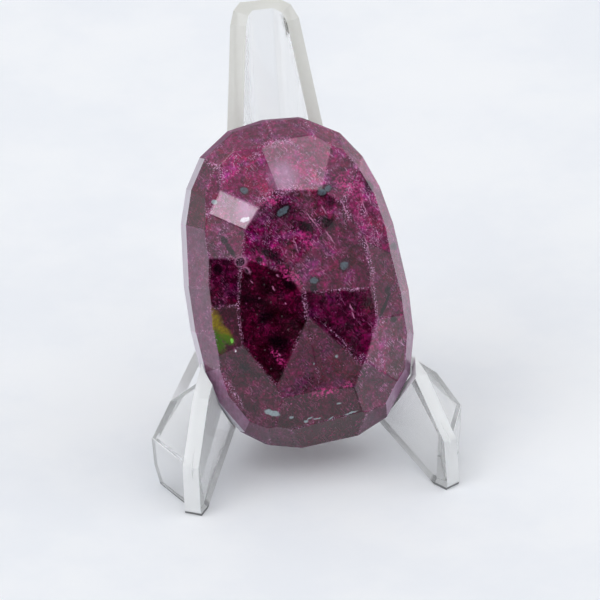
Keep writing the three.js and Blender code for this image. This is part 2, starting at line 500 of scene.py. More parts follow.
# the marks in the face, drawn in the order of the tints
MARKS: dict[Tint, dict[str, Mark]] = {
    # painted reflection: lighter patches on the window facet, near its glint, and on the top facet
    Tint.PAINTED_SHEEN: {
        "sheen_window": Mark((-7.1, 13.3), (2.8, 2.6), 13, 1.4),
        "sheen_top": Mark((0.1, 17.8), (4.2, 3.9), -60, 1.2),
    },
    Tint.WORN: {
        "edge_big_left": Mark((-11.0, -0.6), (4.2, 0.5), -101),
        "edge_big_left_low": Mark((-11.4, -4.8), (4.9, 0.5), -92),
        "edge_centre": Mark((-0.4, -3.0), (6.2, 0.8), -94),
        "edge_upper_right": Mark((9.9, 12.9), (2.8, 1.0), -138),
        "edge_upper_right_low": Mark((9.1, 10.3), (3.4, 1.0), -81),
        "edge_right_high": Mark((11.9, 9.8), (2.8, 1.0), -72),
        "edge_right": Mark((10.9, 4.4), (3.2, 0.8), -69),
        "edge_right_middle": Mark((11.4, 0.6), (4.6, 1.0), -92),
        "edge_right_low": Mark((11.1, -5.6), (6.8, 0.5), -96),
        "corner_low": Mark((7.6, -13.8), (1.9, 1.1), -68),
        "ring_top": Mark((0.1, 23.0), (4.4, 1.0), -1),
        "ring_top_left": Mark((-3.5, 21.8), (2.6, 1.0), 11),
        "window_corner": Mark((-9.5, 19.1), (2.9, 0.8), 67),
        "window_left": Mark((-12.8, 13.8), (1.8, 0.8), 52),
        "centre_top_left": Mark((-2.1, 15.2), (5.6, 1.6), 11),
        "centre_top_mid": Mark((1.1, 15.6), (2.6, 1.1), 3),
        "ring_left": Mark((-10.1, 21.3), (2.3, 1.0), -34),
        "ring_low_left": Mark((-13.9, -15.4), (5.5, 0.8), -69),
        "edge_dark_right_top": Mark((6.7, -2.2), (6.7, 0.4), -7),
        "edge_dark_right_low": Mark((3.9, -9.3), (6.8, 0.4), -53),
    },
    Tint.STREAK: {
        "band_centre": Mark((4.2, 8.8), (10.1, 4.8), -67),
        "band_centre_left": Mark((-1.8, 7.3), (8.1, 3.5), -64),
        "band_right_high": Mark((11.7, 8.9), (8.6, 2.6), -76),
        "band_dark_right": Mark((7.9, -6.6), (7.8, 1.9), -50),
    },
    Tint.PINK: {
        "patch_bottom": Mark((0.3, -17.9), (4.0, 1.5), 1, 0.8),
        "patch_bottom_right": Mark((4.4, -17.5), (1.3, 1.0), 19, 0.8),
        "glow_magenta": Mark((-6.2, -10.8), (3.7, 1.1), -62, 0.8),
        "patch_upper_right": Mark((10.1, 14.1), (4.4, 2.3), -59),
        "patch_centre": Mark((-1.9, 1.8), (4.4, 1.9), -45),
        "patch_left": Mark((-2.6, 14.2), (3.4, 1.3), 5),
        "patch_centre_low": Mark((1.7, 7.3), (3.8, 1.9), -70),
    },
    Tint.GRAIN: {
        "line_above_hole": Mark((-10.5, 6.7), (1.4, 0.1), -1),
        "ring_hole": Mark((-9.5, 5.6), (1.9, 1.7), -2, 0.6),
        "ring_second": Mark((-8.8, 4.1), (1.4, 0.7), -55),
        "dot_big_dark_top": Mark((-7.6, -0.8), (0.3, 0.3), -22, 0.8),
        "chip_upper": Mark((-5.1, 0.3), (0.7, 0.3), -69),
        "dot_big_dark_low": Mark((-5.9, -10.5), (0.3, 0.3), -36, 0.8),
        "fleck_big_dark_left": Mark((-8.4, 2.0), (0.6, 0.2), -65),
        "fleck_big_dark_right": Mark((-3.6, -2.4), (0.3, 0.2), -55),
        "fleck_big_dark_top": Mark((-4.1, 2.3), (0.5, 0.3), -47),
        "streak_dark_right_upper": Mark((7.0, -5.2), (1.2, 0.2), -80, 0.8),
        "streak_dark_right_lower": Mark((7.1, -6.5), (1.1, 0.2), -77, 0.8),
        "streak_centre_upper": Mark((3.2, 10.0), (3.1, 0.2), -62, 0.8),
        "streak_centre_right": Mark((5.5, 11.1), (1.7, 0.2), -67, 0.8),
        "streak_centre_lower": Mark((5.6, 6.7), (2.4, 0.2), -66, 0.8),
        "streak_right_high": Mark((8.9, 10.6), (2.7, 0.2), -77, 0.8),
        "streak_far_right": Mark((12.3, 10.2), (2.4, 0.2), -81, 0.8),
        "streak_right": Mark((11.4, 4.5), (2.4, 0.2), -80, 0.8),
        "streak_centre_left": Mark((-0.2, 6.5), (2.4, 0.2), -81, 0.8),
    },
    Tint.SLATE: {
        "needle_left_head": Mark((-11.4, 9.4), (1.4, 1.0), -64, 0.5),
        "needle_left": Mark((-10.8, 7.8), (3.1, 0.8), -70, 0.5),
        "wedge_right": Mark((12.8, -5.8), (4.9, 0.6), -125, 0.5),
        "wedge_head": Mark((13.6, -3.7), (1.1, 1.3), 5, 0.6),
        "dot_right": Mark((13.7, -8.5), (1.0, 1.0), -17, 0.7),
        "dot_far_right": Mark((16.3, 2.9), (1.5, 1.1), -22, 0.8),
        "tail_centre": Mark((1.4, -1.0), (1.3, 1.3), -108, 0.6),
        "blot_left": Mark((-11.7, -11.5), (1.7, 1.1), -28),
    },
    Tint.BLACK: {
        "hole_left": Mark((-9.6, 5.6), (1.5, 1.5), -4, 0.25),
        "hole_second": Mark((-8.9, 4.0), (1.0, 0.5), -59, 0.6),
        "hole_far_left": Mark((-13.3, 4.9), (1.9, 1.3), -95, 0.7),
        "hole_centre": Mark((-2.4, 0.3), (2.2, 1.3), -34, 0.5),
        "hole_small": Mark((-6.5, 5.3), (1.1, 1.0), -3, 0.5),
        "blot_low": Mark((-5.7, -8.5), (3.7, 2.6), -34, 0.8),
        "blot_low_second": Mark((-5.3, -9.1), (2.1, 1.9), 58, 0.8),
        "blot_upper": Mark((-8.9, -0.6), (3.6, 1.5), -19),
        "blot_middle": Mark((-7.2, -4.1), (2.6, 1.9), 19),
        "patch_top": Mark((1.9, 9.1), (2.8, 1.9), -46, 0.8),
        "patch_top_right": Mark((5.7, 8.8), (3.0, 1.9), -60, 0.8),
        "patch_right": Mark((13.9, 13.3), (2.2, 1.5), -74),
        "patch_left": Mark((-4.7, 5.8), (4.5, 1.6), -41),
    },
    Tint.STEEL: {
        "spot_left": Mark((-6.6, 16.7), (1.3, 1.0), -33, 0.35),
        "spot_upper": Mark((-1.2, 12.3), (2.2, 1.1), 30, 0.35),
        "spot_top": Mark((5.7, 14.0), (1.3, 1.1), 10, 0.35),
        "spot_top_second": Mark((6.8, 14.4), (1.1, 0.8), 10, 0.5),
        "spot_right": Mark((7.1, 1.7), (1.3, 1.3), -19, 0.35),
        "spot_centre": Mark((1.7, 0.3), (1.3, 1.0), -4, 0.35),
    },
    Tint.YELLOW: {
        "patch_yellow": Mark((-15.3, -3.2), (3.7, 2.1), -78),
        "patch_yellow_right": Mark((-14.2, -5.1), (3.5, 1.5), -58),
    },
    Tint.GREEN: {
        "patch_green": Mark((-15.2, -6.4), (3.8, 2.1), -80, 0.8),
        "patch_green_right": Mark((-13.8, -6.4), (2.5, 1.5), -38, 0.8),
    },
    Tint.LIME: {
        "dot_lime": Mark((-13.0, -6.8), (0.6, 0.7), -10, 0.4),
    },
    Tint.RED: {
        "dot_red": Mark((-11.3, 16.5), (1.2, 1.0), 37, 0.4),
    },
    Tint.SILVER: {
        "dot_fan_left": Mark((-0.6, -13.0), (0.2, 0.4), -11),
        "dot_fan_right": Mark((3.3, -12.5), (0.5, 0.5), -11, 1.0),
        # glint_left is a small painted highlight beside the red chip
        "glint_left": Mark((-11.6, 15.7), (0.8, 0.8), 1, 0.4),
        "lens_bottom": Mark((-8.5, -19.6), (2.6, 0.9), -27, 0.3),
        "streak_lower": Mark((4.2, -22.1), (2.0, 0.3), 5, 0.6),
        "streak_bottom_left": Mark((-2.6, -21.7), (1.1, 0.2), 10, 0.6),
        "streak_bottom": Mark((-1.4, -21.9), (1.3, 0.2), -3, 0.6),
        "streak_bottom_right": Mark((0.9, -22.3), (0.9, 0.2), 23, 0.6),
        "ring_bottom": Mark((-3.3, -22.0), (0.7, 0.4), -11, 0.8),
        "ring_bottom_left": Mark((-5.5, -20.9), (0.7, 0.4), 3, 0.8),
        "ring_low_right": Mark((2.5, -20.2), (0.8, 0.3), 0, 0.8),
        "fleck_top": Mark((13.7, 19.3), (1.7, 0.5), -46),
    },
    # painted highlight: glint and glint_end paint the bright glint at the lower corner of the window
    # facet
    Tint.WHITE: {
        "glint": Mark((-7.6, 12.1), (1.3, 0.7), 7, 0.3),
        "glint_end": Mark((-7.2, 12.1), (1.0, 0.6), 34, 0.3),
        "dot_left_low": Mark((-12.7, -8.5), (0.2, 0.3), -10),
    },
}


@dataclass(frozen=True)
class Needles:
    """Fine needles that lie in one direction on the face.

    Attributes:
        turn: their direction, in degrees from the side axis.
        length: how far apart the places for them are along that direction, in millimetres.
        share: how many of the places have one, 0 to 1.
    """

    turn: float
    length: float
    share: float


@dataclass(frozen=True)
class RubyFinish:
    """The polished, heavily included ruby.

    Sizes are in millimetres. A drift is how often and how far a pattern is moved off its place.
    A pair of shares is how strongly a layer shows where its guide is 0 and where it is 1.

    Attributes:
        crimson, magenta, blood: the hues of the inside, and of its bluer and its redder clouds.
        flake, ember: the colours of the small flakes, and of what lies deep in the dark facets.
        film, milk_and_sheen, frost_and_light: the colours of thin clouds, of a milky place that partly
            paints reflection, and of the ground side that partly paints light and shade.
        ior, polish: the refractive index, and the roughness of the polished facets.
        ground, ground_shine: the roughness of the ground side, and how much it still shines.
        clouds, blots, grain: what makes the inside lighter and darker, from coarse to fine.
        stops: how many doublings of brightness these three make.
        bluer_share: how far the hue turns magenta, in bright and in dark facets.
        redder_share, dark_red: how far it turns to blood in patches, and all over a dark facet.
        dark_glow, bright_glow: the glows between which a facet becomes dark, or bright.
        bands: where dots, flakes and needles gather.
        needle_width, needle_size: how far apart needles are across their direction, and how thick.
        spark_share: how strongly dots and needles show in dark and in bright facets.
        milk_parts: how milky a milky place is everywhere, by its mottle and by its strands.
        ragged: the drifts that make the borders of the marks uneven.
        patchy, mottled: how most marks, and the spots and coloured patches, vary inside.
        border, ring: the reach past a mark's edge at which the mark, or a spot's dark ring, fades.
        fine, stretches: the scratches in a worn place, and which stretches of an edge are worn.
        chamfer, worn_edge: how far from an edge its narrow matte line, and its wear, reach.
        heights: how high swell and ripple are, and how deep pits and wear are.
    """

    crimson: Colour = (1.0, 0.01, 0.34)
    magenta: Colour = (1.0, 0.05, 0.75)
    blood: Colour = (1.0, 0.01, 0.14)
    flake: Colour = srgb(196, 44, 124)
    ember: Colour = srgb(196, 84, 146)
    film: Colour = srgb(184, 96, 160)
    milk_and_sheen: Colour = srgb(200, 162, 196)
    # the pale ground colour, also used to paint light and shade on the side
    frost_and_light: Colour = srgb(230, 227, 236)
    ior: float = 1.77
    polish: float = 0.045
    ground: float = 0.7
    ground_shine: float = 0.1
    drift: Pair = (0.3, 2.5)
    clouds: Noise = Noise(0.2)
    blots: Noise = Noise(0.7, 3.0, 0.6)
    grain: Noise = Noise(2.4, 2.0, 0.6)
    stops: tuple[float, float, float] = (5.0, 8.0, 5.0)
    bluer: Noise = Noise(0.4, 3.0, 0.6, 0.5, 0.68)
    bluer_share: Pair = (0.6, 0.3)
    redder: Noise = Noise(0.22, 3.0, 0.6, 0.5, 0.36)
    redder_share: float = 0.6
    dark_red: float = 0.5
    dark_glow: Pair = (0.07, 0.03)
    bright_glow: Pair = (0.02, 0.12)
    bands: Noise = Noise(0.4, 3.0, 0.6, 0.4, 0.62)
    dots: Specks = Specks(0.6, 0.27, 0.6)
    dot_drift: Pair = (3.0, 0.3)
    dot_bands: Pair = (0.15, 1.0)
    dot_facets: Pair = (0.35, 0.85)
    flakes: Noise = Noise(2.4, 3.0, 0.7, 0.58, 0.72)
    flake_facets: Pair = (0.15, 0.5)
    needles: tuple[Needles, ...] = (
        Needles(-57.0, 1.5, 0.5),
        Needles(-46.0, 0.8, 0.35),
        Needles(38.0, 0.5, 0.25),
        Needles(84.0, 0.8, 0.3),
    )
    needle_drift: Pair = (0.7, 0.5)
    needle_width: float = 0.14
    needle_size: float = 0.44
    needle_bands: Pair = (0.1, 0.8)
    spark_share: Pair = (0.65, 1.0)
    films: Noise = Noise(0.9, 5.0, 0.75, 0.5, 0.7)
    film_drift: Pair = (0.8, 0.6)
    film_share: float = 0.3
    mottle: Noise = Noise(0.8, 5.0, 0.7)
    milk_parts: tuple[float, float, float] = (0.1, 1.0, 0.8)
    strands: Noise = Noise(2.6, 3.0)
    strand_stretch: float = 0.3
    streaks: Noise = Noise(0.8, 3.0)
    streak_stretch: float = 0.25
    frost_share: Pair = (0.75, 1.15)
    ragged: tuple[Pair, Pair] = ((1.3, 0.5), (5.0, 0.18))
    patchy: Noise = Noise(3.0, 4.0, 0.7, 0.36, 0.6)
    patchy_share: Pair = (0.7, 1.0)
    mottled: Noise = Noise(2.2, 4.0, 0.75, 0.34, 0.62)
    mottled_share: Pair = (0.35, 1.0)
    sheen_share: Pair = (0.1, 1.0)
    pinks: Noise = Noise(2.4, 3.0, 0.7, 0.44, 0.66)
    border: Pair = (0.6, -0.6)
    ring: Pair = (2.6, 0.2)
    ring_share: float = 0.7
    fine: Noise = Noise(4.6, 2.0, 0.6, 0.53, 0.64)
    fine_drift: Pair = (1.5, 0.6)
    fine_share: float = 0.8
    thread_share: float = 0.42
    stretches: Noise = Noise(0.35, 2.0, 0.5, 0.45, 0.62)
    chamfer: float = 0.1
    chamfer_share: float = 0.7
    worn_edge: float = 0.35
    worn_share: float = 0.5
    smudges: Noise = Noise(0.35, 4.0, 0.5, 0.4, 0.75)
    smudge_haze: float = 0.035
    worn_haze: float = 0.3
    pits: Specks = Specks(0.8, 0.22, 0.25)
    swell: Noise = Noise(0.12, 1.0)
    ripple: Noise = Noise(2.2, 3.0)
    heights: tuple[float, float, float, float] = (0.12, 0.005, 0.02, 0.02)

    def inside(self, graph: Graph, point: Value) -> Value:
        """Gives the colour of the stone's inside: a hue that drifts, times a cloudy brightness.

        Args:
            graph: the material's graph.
            point: where, in millimetres.

        Returns:
            The colour.
        """
        glow = graph.attribute("glow")
        drift = graph.wander(point, *self.drift)
        cloud_stops, blot_stops, grain_stops = self.stops
        clouds = (graph.noise(drift, self.clouds) - 0.5) * cloud_stops
        blots = (graph.noise(drift, self.blots) - 0.5) * blot_stops
        grain = (graph.noise(point, self.grain) - 0.5) * grain_stops
        cloudy = (clouds + blots) * graph.attribute("depth") + grain
        level = glow * graph.math("POWER", 2.0, cloudy)
        dark = graph.step(glow, *self.dark_glow)
        bluer = graph.patches(drift, self.bluer) * graph.between(dark, *self.bluer_share)
        redder = graph.patches(drift, self.redder) * self.redder_share
        shifted = graph.mix(bluer, self.crimson, self.magenta)
        hue = graph.mix(graph.most(redder, dark * self.dark_red), shifted, self.blood)
        strength = graph.node("ShaderNodeCombineXYZ", None, {0: level, 1: level, 2: level})
        return graph.vector("MULTIPLY", hue, graph.out(strength))

    def threads(self, graph: Graph, face: Value) -> Value:
        """Gives the mask of all the fine pale needles.

        Args:
            graph: the material's graph.
            face: the place on the face, in millimetres.

        Returns:
            The mask.
        """
        bent = graph.wander(face, *self.needle_drift)
        lines: Value | None = None
        for kind in self.needles:
            shift = (kind.turn, kind.length)
            lane = graph.placed(bent, shift, kind.turn, (kind.length, self.needle_width))
            line = graph.specks(lane, Specks(1.0, self.needle_size, kind.share))
            lines = line if lines is None else graph.most(lines, line)
        return lines

    def veils(self, graph: Graph, point: Value, threads: Value, colour: Value) -> Value:
        """Draws flakes, dots, needles and thin clouds over the inside.

        Args:
            graph: the material's graph.
            point: where, in millimetres.
            threads: the mask of the needles.
            colour: the colour of the inside.

        Returns:
            The colour with them.
        """
        bands = graph.patches(point, self.bands)
        wanted = graph.attribute("needles")
        bright = graph.step(graph.attribute("glow"), *self.bright_glow)
        flakes = graph.patches(point, self.flakes) * bands * graph.between(wanted, *self.flake_facets)
        colour = graph.mix(flakes, colour, self.flake)
        dots = graph.specks(graph.wander(point, *self.dot_drift), self.dots)
        dots = dots * graph.between(bands, *self.dot_bands) * graph.between(wanted, *self.dot_facets)
        needles = threads * wanted * graph.between(bands, *self.needle_bands)
        sparks = graph.most(needles, dots) * graph.between(bright, *self.spark_share)
        colour = graph.mix(sparks, colour, graph.mix(bright, self.ember, Tint.WORN.value))
        film = graph.patches(graph.wander(point, *self.film_drift), self.films)
        return graph.mix(film * bright * self.film_share, colour, self.film)

    def milky(self, graph: Graph, point: Value, mottle: Value, colour: Value) -> Value:
        """Draws the milky cloud of the rim, which is partly painted reflection, and the pale ground
        side, which partly paints light and shade.

        Args:
            graph: the material's graph.
            point: where, in millimetres.
            mottle: the noise that makes the milk uneven.
            colour: the colour so far.

        Returns:
            The colour with them.
        """
        everywhere, by_mottle, by_strands = self.milk_parts
        strands = graph.noise(graph.drawn_out(point, self.strand_stretch), self.strands)
        cloudy = everywhere + mottle * by_mottle + strands * by_strands
        colour = graph.mix(graph.attribute("milk_and_sheen") * cloudy, colour, self.milk_and_sheen)
        streaks = graph.noise(graph.drawn_out(point, self.streak_stretch), self.streaks)
        # the pale ground side, which also paints light and shade by the way it faces
        frost_and_painted_light = graph.attribute("frost_and_light") * graph.between(streaks, *self.frost_share)
        return graph.mix(frost_and_painted_light, colour, self.frost_and_light)

    def marks(
        self, graph: Graph, face: Value, textures: dict[Tint, Value], colour: Value
    ) -> Value:
        """Draws the named marks over the colour.

        Args:
            graph: the material's graph.
            face: the place on the face, in millimetres.
            textures: for the tints that aren't even, what their marks are made of.
            colour: the stone's own colour.

        Returns:
            The colour with its marks.
        """
        uneven = face
        for drift in self.ragged:
            uneven = graph.wander(uneven, *drift)
        patchy = graph.between(graph.patches(face, self.patchy), *self.patchy_share)
        inner = graph.attribute("inner")
        for tint in Tint:
            shares = []
            for mark in MARKS[tint].values():
                half = (mark.size[0] / 2, mark.size[1] / 2)
                reach = graph.length(graph.placed(uneven, mark.place, mark.turn, half))
                shares.append((reach - 1.0) / mark.softness)
            reach = graph.least(shares)
            uneven = graph.after(reach, uneven)
            cover = graph.step(reach, *self.border) * textures.get(tint, patchy)
            if tint in RINGED:
                ring = graph.step(reach, *self.ring) * self.ring_share
                colour = graph.mix(ring, colour, Tint.BLACK.value)
            if tint in INNER:
                cover = cover * inner
            colour = graph.mix(cover, colour, tint.value)
        return colour

    def face(self, graph: Graph) -> Value:
        """Gives the place on the face from its map, in millimetres from the stone's centre."""
        chart = graph.out(graph.node("ShaderNodeUVMap", {"uv_map": "face"}))
        centred = graph.vector("SUBTRACT", chart, (0.5, 0.5, 0.0))
        return graph.vector("MULTIPLY", centred, (FACE_SPAN, FACE_SPAN, 1.0))

    def shading(self, graph: Graph, point: Value, colour: Value, wear: Value) -> Value:
        """Gives the stone's surface: polished facets, and a ground side and edges.

        Args:
            graph: the material's graph.
            point: where, in millimetres.
            colour: the finished colour.
            wear: the mask of the wear.

        Returns:
            The shader.
        """
        smudges = graph.patches(point, self.smudges)
        swell, ripple, pit, worn = self.heights
        height = graph.noise(point, self.swell) * swell + graph.noise(point, self.ripple) * ripple
        height = height - graph.specks(point, self.pits) * pit - wear * worn
        polished = graph.surface(
            {
                "Base Color": colour,
                "Roughness": self.polish + smudges * self.smudge_haze + wear * self.worn_haze,
                "IOR": self.ior,
                "Normal": graph.bump(height),
            }
        )
        matte = graph.surface(
            {
                "Base Color": colour,
                "Roughness": self.ground,
                "IOR": self.ior,
                "Specular IOR Level": self.ground_shine,
            }
        )
        chamfer = graph.step(graph.attribute("edge"), self.chamfer, 0.0)
        edges = chamfer * graph.attribute("inner") * self.chamfer_share
        return graph.blend(graph.most(graph.attribute("ground"), edges), polished, matte)

    def build(self) -> bpy.types.Material:
        """Makes the material."""
        material, graph = new_material("ruby_polished")
        point = graph.millimetres()
        face = self.face(graph)
        threads = self.threads(graph, face)
        mottle = graph.noise(point, self.mottle)
        fine = graph.patches(graph.wander(face, *self.fine_drift), self.fine)
        mottled = graph.between(graph.patches(face, self.mottled), *self.mottled_share)
        textures = {
            # the painted reflection is mottled
            Tint.PAINTED_SHEEN: graph.between(mottle, *self.sheen_share),
            Tint.WORN: fine * self.fine_share,
            Tint.STREAK: threads * self.thread_share,
            Tint.PINK: graph.patches(point, self.pinks),
            Tint.STEEL: mottled,
            Tint.YELLOW: mottled,
            Tint.GREEN: mottled,
        }
        colour = self.inside(graph, point)
        colour = self.veils(graph, point, threads, colour)
        colour = self.milky(graph, point, mottle, colour)
        colour = self.marks(graph, face, textures, colour)
        worn = graph.step(graph.attribute("edge"), self.worn_edge, 0.0) * self.worn_share
        wear = worn * fine * graph.patches(point, self.stretches)
        colour = graph.mix(wear, colour, Tint.WORN.value)
        graph.finish(Surface=self.shading(graph, point, colour, wear))
        return material


@dataclass(frozen=True)
class ClearPlastic:
    """Clear moulded plastic: polished faces, seen through by refraction, and satin narrow edges.

    Attributes:
        tint: the faint colour that it keeps of the light that passes.
        density: how much light it takes, per metre.
        ior: its refractive index.
        polish: the haze of its polished faces.
        scuff_haze: the haze that scuffs add to them.
        heights: how high the swell and the ripple of its faces are, in millimetres.
        satin: the haze that a narrow edge adds to what is seen through it.
        satin_rough: how rough its satin part is.
        satin_colour: how pale its narrow edges are.
        upper_shade_colour: painted shade: how pale the narrow edges are high up, where they face the
            front and are darker.
        upper_shade_part: the heights between which that painted shade begins, in millimetres.
        satin_share: how much of what meets a narrow edge is scattered there.
        streak_share: how that varies in streaks along the edge.
        sole_share: how much of what meets the face that a foot stands on is scattered there.
        contact_shadow_colour: a painted shadow: the dark line round that face, where it touches the
            floor.
        contact_shadow_height: how high that painted shadow reaches, in millimetres.
            contact_shadow_dark, contact_shadow_share: how dark it is, and how much of what meets it is
            scattered.
        bloom: how much of what meets a polished face is scattered by its wear, low down and high up.
        bloom_part: the heights between which that wear thins out, in millimetres.
    """

    tint: Colour = srgb(238, 242, 242)
    density: float = 6.0
    ior: float = 1.5
    polish: float = 0.02
    scuffs: Noise = Noise(0.9, 5.0, 0.7, 0.55, 0.8)
    scuff_haze: float = 0.06
    swell: Noise = Noise(0.12, 1.0)
    ripple: Noise = Noise(0.6)
    heights: Pair = (0.1, 0.006)
    satin: float = 0.3
    satin_rough: float = 0.45
    satin_colour: Colour = srgb(250, 251, 252)
    # painted shade on the narrow edges high up
    upper_shade_colour: Colour = srgb(227, 226, 220)
    upper_shade_part: Pair = (30.0, 36.0)
    satin_share: float = 0.86
    streaks: Noise = Noise(0.8, 4.0)
    streak_stretch: float = 0.3
    streak_share: Pair = (0.85, 1.15)
    sole_share: float = 0.6
    # a painted shadow where the feet touch the floor
    contact_shadow_colour: Colour = srgb(44, 46, 48)
    contact_shadow_height: float = 0.5
    contact_shadow_dark: float = 0.9
    contact_shadow_share: float = 0.85
    bloom: Pair = (0.2, 0.05)
    bloom_part: Pair = (4.0, 40.0)

    def clear(self, graph: Graph, point: Value, narrow: Value) -> Value:
        """Gives the part of the surface that light passes through.

        Args:
            graph: the material's graph.
            point: where, in millimetres.
            narrow: how far this is a narrow edge.

        Returns:
            The shader.
        """
        swell, ripple = self.heights
        height = graph.noise(point, self.swell) * swell + graph.noise(point, self.ripple) * ripple
        scuffs = graph.patches(point, self.scuffs)
        return graph.surface(
            {
                "Base Color": (1.0, 1.0, 1.0),
                "Roughness": self.polish + scuffs * self.scuff_haze + narrow * self.satin,
                "IOR": self.ior,
                "Transmission Weight": 1.0,
                "Normal": graph.bump(height),
            }
        )

    def build(self) -> bpy.types.Material:
        """Makes the material."""
        material, graph = new_material("clear_plastic")
        point = graph.millimetres()
        narrow, sole = graph.attribute("narrow"), graph.attribute("sole")
        level = graph.dot(point, UP)
        # painted shade: the narrow edges darken with height
        upper_shade = graph.step(level, *self.upper_shade_part)
        # painted shadow: a dark line on the faces just above the floor, beside the soles
        contact_shadow = graph.step(level, self.contact_shadow_height, self.contact_shadow_height / 2) * (1.0 - sole)
        pale = graph.mix(upper_shade, self.satin_colour, self.upper_shade_colour)
        satin = graph.surface(
            {
                "Base Color": graph.mix(contact_shadow * self.contact_shadow_dark, pale, self.contact_shadow_colour),
                "Roughness": self.satin_rough,
                "IOR": self.ior,
            }
        )
        streaks = graph.noise(graph.drawn_out(point, self.streak_stretch), self.streaks)
        edges = narrow * self.satin_share * graph.between(streaks, *self.streak_share)
        feet = graph.most(sole * self.sole_share, contact_shadow * self.contact_shadow_share)
        bloom = graph.between(graph.step(level, *self.bloom_part), *self.bloom)
        share = graph.most(graph.most(edges, feet), bloom)
        absorbed = {"Color": self.tint, "Density": self.density}
        graph.finish(
            Surface=graph.blend(share, self.clear(graph, point, narrow), satin),
            Volume=graph.out(graph.node("ShaderNodeVolumeAbsorption", None, absorbed)),
        )
        return material


@dataclass(frozen=True)
class PalePaper:
    """The plain pale floor.

    Attributes:
        colour: its colour.
        shade: its colour where it is a little darker.
        clouds: where that is.
        rough: how rough it is.
    """

    colour: Colour = srgb(249, 250, 253)
    shade: Colour = srgb(243, 245, 250)
    clouds: Noise = Noise(0.03, 5.0, 0.6, 0.35, 0.65)
    rough: float = 0.75

    def build(self) -> bpy.types.Material:
        """Makes the material."""
        material, graph = new_material("pale_paper")
        clouds = graph.patches(graph.millimetres(), self.clouds)
        colour = graph.mix(clouds, self.shade, self.colour)
        graph.finish(Surface=graph.surface({"Base Color": colour, "Roughness": self.rough}))
        return material


def whole_faces(node: str, flatness: float) -> bmesh.types.BMesh:
    """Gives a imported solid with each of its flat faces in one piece.

    Args:
        node: the solid's name.
        flatness: the angle up to which neighbours lie in one face, in degrees.

    Returns:
        The shape, which has to be freed.
    """
    weld = 0.01 * MM
    shape = bmesh.new()
    shape.from_mesh(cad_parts[node].data)
    bmesh.ops.remove_doubles(shape, verts=shape.verts, dist=weld)
    bmesh.ops.dissolve_limit(
        shape, angle_limit=math.radians(flatness), verts=shape.verts, edges=shape.edges
    )
    return shape


def add_object(name: str, data: bpy.types.ID) -> bpy.types.Object:
    """Adds an object to the scene, at the origin."""
    made = bpy.data.objects.new(name, data)
    bpy.context.scene.collection.objects.link(made)
    return made


